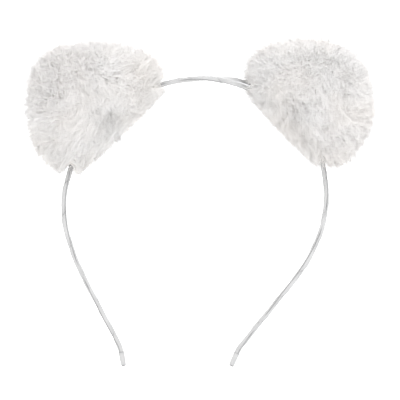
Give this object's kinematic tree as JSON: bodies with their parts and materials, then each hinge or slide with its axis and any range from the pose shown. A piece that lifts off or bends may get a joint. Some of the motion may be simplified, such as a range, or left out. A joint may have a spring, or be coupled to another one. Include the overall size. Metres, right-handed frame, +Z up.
{
  "type": "animal ears headband",
  "caption": "Slim satin-wound spring headband that carries two round, stuffed, long-haired plush animal ears, one on each side of the crown.",
  "frame": {"origin": "the middle of the crown's inner face, where the band rests on the head", "axes": "+X to the right as seen from the front, +Y to the back of the head, +Z up away from the head"},
  "size_m": [0.1731, 0.036, 0.1624],
  "materials": {
    "spring_steel": "rolled strip, hidden",
    "satin_ribbon": "silver-grey satin, soft sheen",
    "plush_fur": "off-white long pile, matt with a soft halo",
    "knit_backing": "matt knitted cloth",
    "fibre_fill": "matt polyester fibre",
    "sewing_thread": "spun polyester thread",
    "hot_melt_glue": "clouded, waxy"
  },
  "bodies": {
    "crown": {"crown_core": "spring_steel", "crown_ribbon": "satin_ribbon"},
    "left_ear": {"left_ear_front_backing": "knit_backing", "left_ear_back_backing": "knit_backing", "left_ear_front_pile": "plush_fur", "left_ear_back_pile": "plush_fur", "left_ear_fill": "fibre_fill", "left_ear_edge_seam_thread": "sewing_thread", "left_ear_closing_thread": "sewing_thread", "left_ear_upper_glue": "hot_melt_glue", "left_ear_lower_glue": "hot_melt_glue", "left_ear_band_core": "spring_steel", "left_ear_band_ribbon": "satin_ribbon"},
    "left_leg": {"left_leg_core": "spring_steel", "left_leg_ribbon": "satin_ribbon", "left_leg_tip_cap": "satin_ribbon"},
    "right_ear": {"right_ear_front_backing": "knit_backing", "right_ear_back_backing": "knit_backing", "right_ear_front_pile": "plush_fur", "right_ear_back_pile": "plush_fur", "right_ear_fill": "fibre_fill", "right_ear_edge_seam_thread": "sewing_thread", "right_ear_closing_thread": "sewing_thread", "right_ear_upper_glue": "hot_melt_glue", "right_ear_lower_glue": "hot_melt_glue", "right_ear_band_core": "spring_steel", "right_ear_band_ribbon": "satin_ribbon"},
    "right_leg": {"right_leg_core": "spring_steel", "right_leg_ribbon": "satin_ribbon", "right_leg_tip_cap": "satin_ribbon"}
  },
  "joints": [
    {"name": "left_shoulder_flex", "type": "hinge", "parent": "crown", "child": "left_ear", "pos_m": [-0.02306, 0, -0.00266], "axis": [0, 1, 0], "range_deg": [-3, 13], "stiffness_Nm_per_rad": 0.73},
    {"name": "left_leg_flex", "type": "hinge", "parent": "left_ear", "child": "left_leg", "pos_m": [-0.06468, 0, -0.042], "axis": [0, 1, 0], "range_deg": [-3, 13], "stiffness_Nm_per_rad": 0.59},
    {"name": "right_shoulder_flex", "type": "hinge", "parent": "crown", "child": "right_ear", "pos_m": [0.0249, 0, -0.00346], "axis": [0, -1, 0], "range_deg": [-3, 13], "stiffness_Nm_per_rad": 0.73},
    {"name": "right_leg_flex", "type": "hinge", "parent": "right_ear", "child": "right_leg", "pos_m": [0.05694, 0, -0.03729], "axis": [0, -1, 0], "range_deg": [-3, 13], "stiffness_Nm_per_rad": 0.59}
  ],
  "couplings": [
    {"joint": "left_leg_flex", "follows": "left_shoulder_flex", "ratio": 0.9},
    {"joint": "right_leg_flex", "follows": "right_shoulder_flex", "ratio": 0.9}
  ]
}
